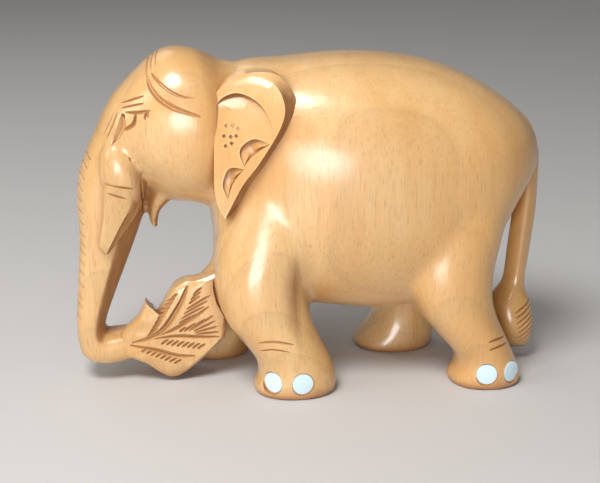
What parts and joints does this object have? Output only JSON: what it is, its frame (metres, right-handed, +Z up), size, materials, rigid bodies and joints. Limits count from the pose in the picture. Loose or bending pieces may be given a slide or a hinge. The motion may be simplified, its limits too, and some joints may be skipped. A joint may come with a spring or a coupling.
{
  "type": "wooden elephant figurine",
  "caption": "Carved wooden elephant walking on four feet, holding a leaf in its lowered trunk, with round toenails let into its feet.",
  "frame": {"origin": "under the middle of the figure, on the surface it stands on", "axes": "+X from the head to the tail, +Y towards the elephant's right side, +Z up"},
  "size_m": [0.15, 0.0618, 0.106],
  "materials": {
    "carved_wood": "pale yellow-tan hardwood under a satin lacquer, browner in the carved hollows",
    "toenail_inlay": "smooth, very pale blue-white inlay, polished flat"
  },
  "bodies": {
    "root": {"carved_elephant": "carved_wood", "left_front_toenail_1": "toenail_inlay", "left_front_toenail_2": "toenail_inlay", "left_hind_toenail_1": "toenail_inlay", "left_hind_toenail_2": "toenail_inlay", "right_front_toenail_1": "toenail_inlay", "right_front_toenail_2": "toenail_inlay", "right_hind_toenail_1": "toenail_inlay", "right_hind_toenail_2": "toenail_inlay"}
  },
  "joints": []
}
